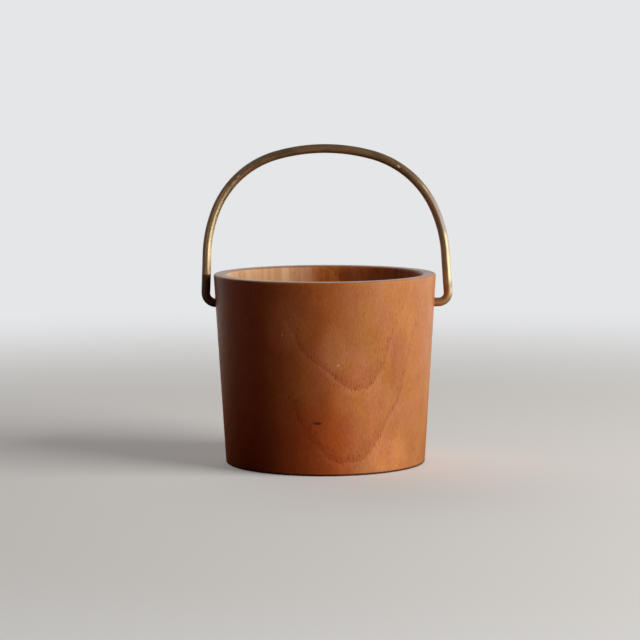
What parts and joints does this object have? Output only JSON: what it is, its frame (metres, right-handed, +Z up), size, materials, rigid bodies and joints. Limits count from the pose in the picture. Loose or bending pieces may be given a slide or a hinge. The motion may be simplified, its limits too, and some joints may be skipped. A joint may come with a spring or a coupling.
{
  "type": "wooden pail",
  "caption": "Tapered pail with a thick turned hardwood wall, a let-in bottom board and a bent brass bail handle that swings over the open mouth.",
  "frame": {"origin": "centre of the foot, on the surface that the pail stands on", "axes": "+Z up through the mouth, +X along the bail's hinge line, -Y towards the viewer"},
  "size_m": [0.1674, 0.1478, 0.2119],
  "materials": {
    "teak_wall": "oiled, grain upright",
    "teak_board": "oiled, grain level",
    "brass_rod": "brown tarnish on the crown, handled bright on the legs"
  },
  "bodies": {
    "pail": {"turned_wall": "teak_wall", "bottom_board": "teak_board"},
    "bail": {"bail": "brass_rod"}
  },
  "joints": [
    {"name": "bail_swing", "type": "hinge", "parent": "pail", "child": "bail", "pos_m": [0, 0, 0.1066], "axis": [1, 0, 0], "range_deg": [-135.3, 135.3]}
  ]
}
